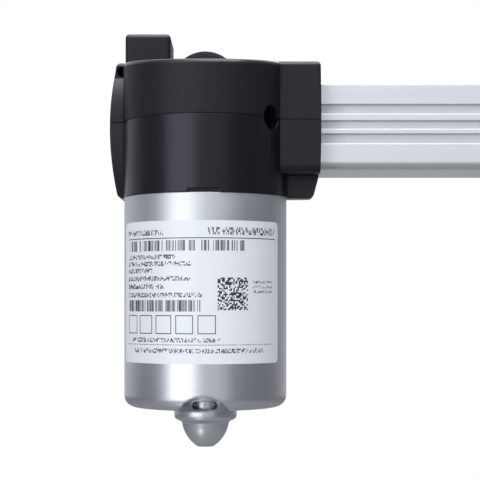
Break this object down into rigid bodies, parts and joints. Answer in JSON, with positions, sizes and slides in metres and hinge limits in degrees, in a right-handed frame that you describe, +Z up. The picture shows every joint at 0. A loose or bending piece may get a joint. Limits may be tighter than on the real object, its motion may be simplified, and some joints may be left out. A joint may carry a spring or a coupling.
{
  "type": "electric linear actuator",
  "caption": "Electric linear actuator: a hanging can motor turns a worm gear in a split black housing, and a spindle in a slotted aluminium rail drives a carriage with a clevis.",
  "frame": {"origin": "centre of the rear fork's pivot bore, on the housing's parting plane", "axes": "+X along the rail away from the motor, +Y from the motor towards the pivots, +Z up along the motor axis and the pivot pins"},
  "size_m": [0.4929, 0.0928, 0.1539],
  "materials": {
    "housing_plastic": "charcoal black moulding with a light spark texture",
    "black_steel": "black oxide",
    "bright_steel": "ground",
    "zinc_steel": "zinc plated deep-drawn steel, satin",
    "cast_zinc": "as cast",
    "lamination_steel": "stamped laminations",
    "ferrite": "ground ferrite",
    "carbon": "pressed carbon",
    "copper": "enamelled copper",
    "contact_brass": "tinned spring brass",
    "sintered_bronze": "oil-filled sintered bronze",
    "card_plastic": "brown phenolic moulding",
    "gear_plastic": "natural acetal",
    "circuit_board": "coated circuit board",
    "label_film": "white printed film",
    "anodised_aluminium": "clear anodised extrusion"
  },
  "bodies": {
    "drive_frame": {"upper_housing": "housing_plastic", "lower_housing": "housing_plastic", "housing_screws": "black_steel", "socket_contacts": "contact_brass", "motor_can": "zinc_steel", "motor_end_plate": "cast_zinc", "motor_screws": "bright_steel", "motor_front_bearing": "sintered_bronze", "tail_bushing": "bright_steel", "field_magnets": "ferrite", "brush_card": "card_plastic", "carbon_brushes": "carbon", "brush_springs": "contact_brass", "rating_label": "label_film", "worm_tip_bush": "sintered_bronze", "spindle_rear_bearing": "bright_steel", "spindle_thrust_bearing": "bright_steel", "spindle_tail_bush": "sintered_bronze", "rail": "anodised_aluminium", "rail_lock_pins": "bright_steel", "rail_end_cap": "housing_plastic", "end_cap_screws": "black_steel", "limit_switch_strip": "circuit_board", "retracted_limit_switch": "housing_plastic", "extended_limit_switch": "housing_plastic"},
    "rotor": {"motor_shaft": "bright_steel", "worm": "bright_steel", "armature_core": "lamination_steel", "armature_winding": "copper", "commutator": "copper"},
    "spindle_drive": {"spindle": "bright_steel", "worm_wheel": "gear_plastic", "wheel_drive_pin": "bright_steel", "spindle_circlip": "black_steel"},
    "carriage_unit": {"drive_nut": "gear_plastic", "carriage": "housing_plastic", "carriage_screws": "black_steel"}
  },
  "joints": [
    {"name": "rotor_spin", "type": "hinge", "parent": "drive_frame", "child": "rotor", "pos_m": [0.02, -0.053, 0], "axis": [0, 0, 1], "range_deg": [-102375, 22500]},
    {"name": "spindle_spin", "type": "hinge", "parent": "drive_frame", "child": "spindle_drive", "pos_m": [0, -0.036, 0], "axis": [1, 0, 0], "range_deg": [-8190, 1800]},
    {"name": "carriage_slide", "type": "slide", "parent": "drive_frame", "child": "carriage_unit", "axis": [1, 0, 0], "range_m": [-0.06, 0.273]}
  ],
  "couplings": [
    {"joint": "spindle_spin", "follows": "rotor_spin", "ratio": 0.08},
    {"joint": "carriage_slide", "follows": "rotor_spin", "m_per_rad": -0.00015279}
  ]
}
